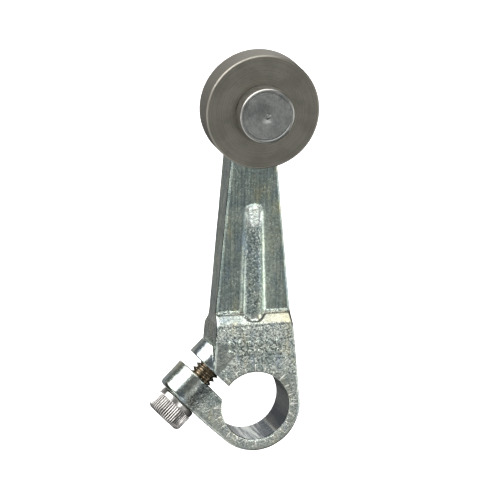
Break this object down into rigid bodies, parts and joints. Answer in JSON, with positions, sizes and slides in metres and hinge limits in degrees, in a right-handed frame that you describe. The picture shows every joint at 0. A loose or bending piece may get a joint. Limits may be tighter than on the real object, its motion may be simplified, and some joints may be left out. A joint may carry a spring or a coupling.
{
  "type": "limit switch roller lever",
  "caption": "Clamp-on lever arm with a ribbed cast arm, a split hub closed by a socket head screw, and a steel roller on a riveted pin.",
  "frame": {"origin": "centre of the shaft bore, on its axis and half way through the hub", "axes": "+Z along the arm from the bore to the roller, +Y along the shaft towards the switch, so the roller is on the -Y side; the slit is on the -X side"},
  "size_m": [0.0248, 0.016, 0.0642],
  "materials": {
    "plated_casting": "zinc plated and passivated, bright with faint yellow and blue tints over a grainy casting",
    "roller_steel": "dark grey hardened steel, satin, with fine turning marks",
    "pin_steel": "plain turned steel, satin",
    "screw_steel": "bright stainless, knurled head"
  },
  "bodies": {
    "arm": {"lever_arm": "plated_casting", "roller_pin": "pin_steel"},
    "roller_wheel": {"roller": "roller_steel"},
    "screw": {"clamp_screw": "screw_steel"}
  },
  "joints": [
    {"name": "roller_spin", "type": "hinge", "parent": "arm", "child": "roller_wheel", "pos_m": [0, -0.00662, 0.048], "axis": [0, -1, 0], "continuous": true},
    {"name": "screw_turn", "type": "hinge", "parent": "arm", "child": "screw", "pos_m": [-0.0059, 0, 0.0059], "axis": [-0.7071, 0, -0.7071], "range_deg": [0, 2700]}
  ]
}
